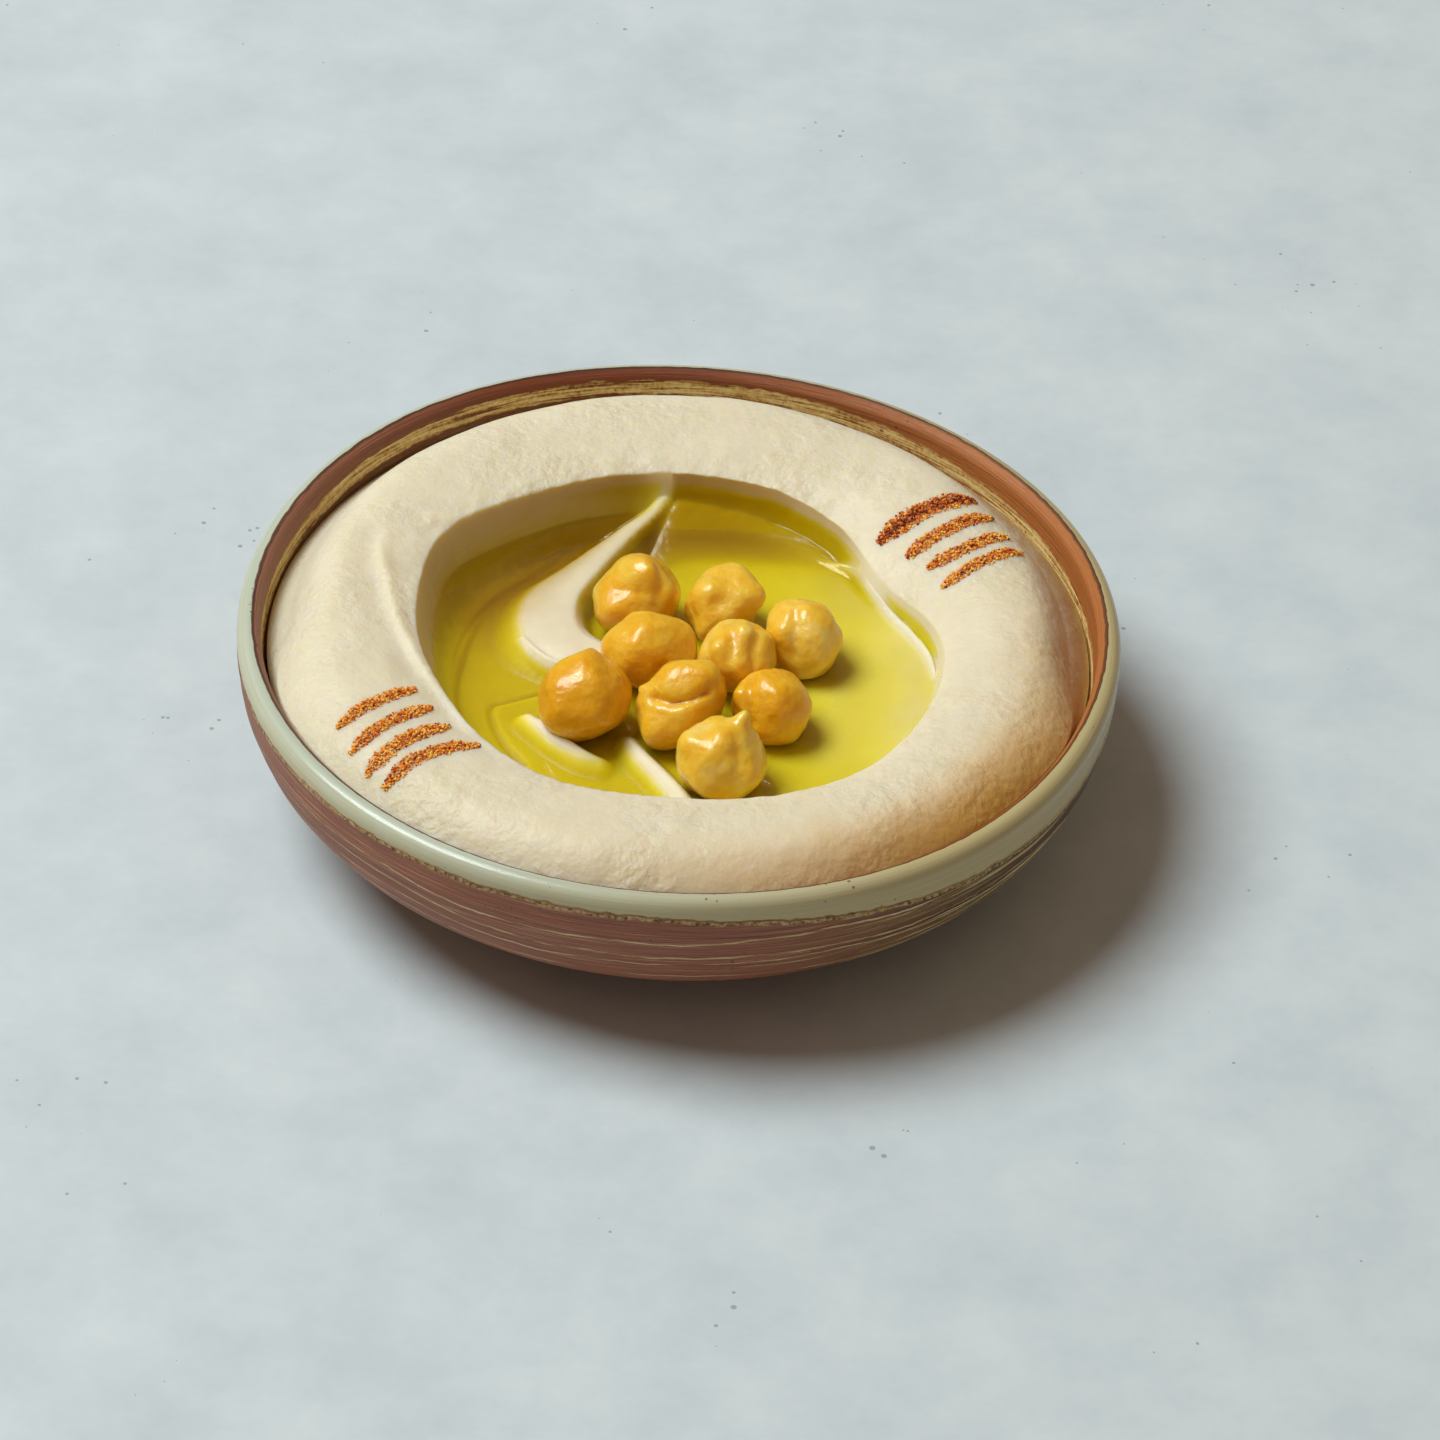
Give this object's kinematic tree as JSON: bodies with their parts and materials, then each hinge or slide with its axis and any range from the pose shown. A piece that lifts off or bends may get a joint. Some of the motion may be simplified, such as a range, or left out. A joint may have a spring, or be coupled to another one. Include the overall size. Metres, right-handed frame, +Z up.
{
  "type": "bowl of hummus",
  "caption": "Smooth chickpea hummus swirled into a ring in a round glazed stoneware bowl, with olive oil and whole cooked chickpeas in its well.",
  "frame": {"origin": "centre of the bowl's foot ring, on the surface that the bowl stands on", "axes": "+Z up along the bowl's axis; the diner sits on the -Y side; the spoon's curl starts at +Y and swings towards -X"},
  "size_m": [0.13, 0.13, 0.0355],
  "materials": {
    "stoneware": "glazed stoneware, celadon rim over brown",
    "hummus": "moist smooth paste",
    "olive_oil": "still oil, mirror smooth",
    "chickpea": "oily cooked pulse",
    "paprika": "coarse ground spice"
  },
  "bodies": {
    "root": {"bowl": "stoneware", "hummus": "hummus", "oil": "olive_oil", "chickpea_1": "chickpea", "chickpea_2": "chickpea", "chickpea_3": "chickpea", "chickpea_4": "chickpea", "chickpea_5": "chickpea", "chickpea_6": "chickpea", "chickpea_7": "chickpea", "chickpea_8": "chickpea", "chickpea_9": "chickpea"}
  },
  "joints": []
}
